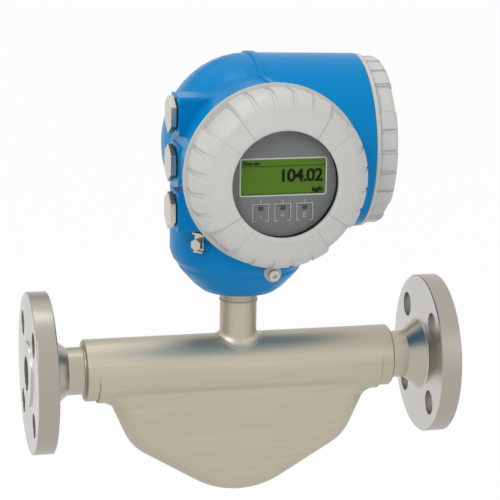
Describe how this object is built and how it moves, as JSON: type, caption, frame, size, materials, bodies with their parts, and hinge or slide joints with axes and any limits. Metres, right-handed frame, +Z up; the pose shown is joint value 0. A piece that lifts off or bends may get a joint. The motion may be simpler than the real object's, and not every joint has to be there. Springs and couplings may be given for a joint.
{
  "type": "coriolis flow meter",
  "caption": "Coriolis mass flow meter with a bow-tube sensor between two weld-neck flanges and a compact swivelling transmitter with display.",
  "frame": {"origin": "centre of the inlet flange's raised sealing face", "axes": "+X runs along the pipe from the inlet to the outlet flange, -Y is the side with the display, +Z points up to the transmitter"},
  "size_m": [0.329, 0.2052, 0.3448],
  "materials": {
    "flange_steel": "machined",
    "tube_steel": "drawn",
    "body_steel": "blasted and pickled",
    "spigot_steel": "turned",
    "copper": "wound wire",
    "magnet": "plated",
    "blue_paint": "satin powder coat",
    "grey_paint": "satin powder coat",
    "seal_black": "matt",
    "insert_black": "matt",
    "module_grey": "matt",
    "display_grey": "satin",
    "screen_green": "backlit",
    "glass": "polished",
    "screw_steel": "turned"
  },
  "bodies": {
    "sensor": {"inlet_flange": "flange_steel", "outlet_flange": "flange_steel", "inlet_divider": "body_steel", "outlet_divider": "body_steel", "front_measuring_tube": "tube_steel", "rear_measuring_tube": "tube_steel", "brace_plates": "tube_steel", "exciter_coil": "copper", "exciter_magnet": "magnet", "pickup_coils": "copper", "pickup_magnets": "magnet", "temperature_sensor": "copper", "sensor_tube": "body_steel", "belly_shell": "body_steel", "neck_tube": "body_steel", "swivel_spigot": "spigot_steel", "swivel_seal": "seal_black", "neck_feedthrough": "insert_black"},
    "transmitter": {"transmitter_housing": "blue_paint", "display_o_ring": "seal_black", "connection_o_ring": "seal_black", "electronics_module": "module_grey", "display_carrier": "module_grey", "display_bezel": "display_grey", "display_screen": "screen_green", "terminal_block": "insert_black", "terminal_screws": "screw_steel", "ground_screw": "screw_steel", "ground_clamp": "screw_steel", "swivel_screw": "screw_steel", "display_clamp_screw": "screw_steel", "connection_clamp_screw": "screw_steel"},
    "display_cover_set": {"display_cover": "grey_paint", "window_gasket": "seal_black", "window_glass": "glass", "window_retainer": "seal_black"},
    "connection_cover_set": {"connection_cover": "grey_paint"},
    "upper_plug_set": {"upper_plug": "screw_steel", "upper_plug_seal": "seal_black"},
    "middle_plug_set": {"middle_plug": "screw_steel", "middle_plug_seal": "seal_black"},
    "lower_plug_set": {"lower_plug": "screw_steel", "lower_plug_seal": "seal_black"},
    "display_clamp_set": {"display_cover_clamp": "grey_paint"},
    "connection_clamp_set": {"connection_cover_clamp": "grey_paint"}
  },
  "joints": [
    {"name": "transmitter_swivel", "type": "hinge", "parent": "sensor", "child": "transmitter", "pos_m": [0.1645, 0, 0.072], "axis": [0, 0, 1], "range_deg": [-175, 175]},
    {"name": "display_cover_release", "type": "slide", "parent": "transmitter", "child": "display_cover_set", "axis": [0, -1, 0], "range_m": [0, 0.06]},
    {"name": "connection_cover_release", "type": "slide", "parent": "transmitter", "child": "connection_cover_set", "axis": [1, 0, 0], "range_m": [0, 0.04]},
    {"name": "upper_plug_release", "type": "slide", "parent": "transmitter", "child": "upper_plug_set", "axis": [-1, 0, 0], "range_m": [0, 0.03]},
    {"name": "middle_plug_release", "type": "slide", "parent": "transmitter", "child": "middle_plug_set", "axis": [-1, 0, 0], "range_m": [0, 0.03]},
    {"name": "lower_plug_release", "type": "slide", "parent": "transmitter", "child": "lower_plug_set", "axis": [-1, 0, 0], "range_m": [0, 0.03]},
    {"name": "display_clamp_turn", "type": "hinge", "parent": "transmitter", "child": "display_clamp_set", "pos_m": [0.1645, -0.1065, 0.0988], "axis": [0, -1, 0], "range_deg": [0, 90]},
    {"name": "connection_clamp_turn", "type": "hinge", "parent": "transmitter", "child": "connection_clamp_set", "pos_m": [0.2535, 0.04705, 0.12345], "axis": [1, 0, 0], "range_deg": [0, 90]}
  ]
}
